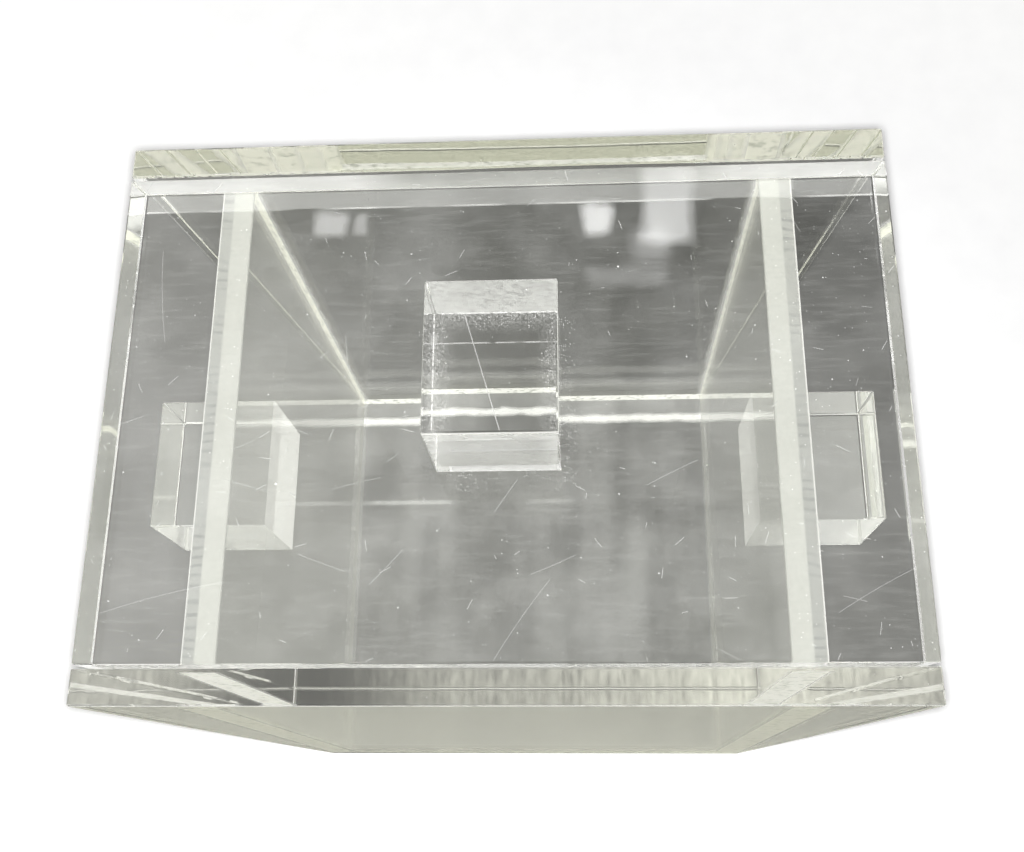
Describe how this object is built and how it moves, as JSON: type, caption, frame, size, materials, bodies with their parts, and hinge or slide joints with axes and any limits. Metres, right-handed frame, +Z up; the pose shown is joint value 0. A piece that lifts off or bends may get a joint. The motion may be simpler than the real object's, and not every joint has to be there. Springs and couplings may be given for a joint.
{
  "type": "acrylic storage box",
  "caption": "Clear thick-sheet acrylic box with flared front and back panels, block side handles and a flat lift-off lid with a block knob.",
  "frame": {"origin": "middle of the box's footprint, on the surface it stands on", "axes": "+X along the front panel to the right handle, +Y from the front panel to the back, +Z up"},
  "size_m": [0.239, 0.17, 0.2505],
  "materials": {
    "clear_sheet": "clear polished acrylic sheet, sawn glue edges",
    "clear_block": "clear polished acrylic block"
  },
  "bodies": {
    "box": {"front_panel": "clear_sheet", "back_panel": "clear_sheet", "left_wall": "clear_sheet", "right_wall": "clear_sheet", "floor_panel": "clear_sheet", "left_handle": "clear_block", "right_handle": "clear_block"},
    "lid": {"lid_panel": "clear_sheet", "lid_knob": "clear_block"}
  },
  "joints": [
    {"name": "lid_lift", "type": "slide", "parent": "box", "child": "lid", "axis": [0, 0, 1], "range_m": [0, 0.12]}
  ]
}
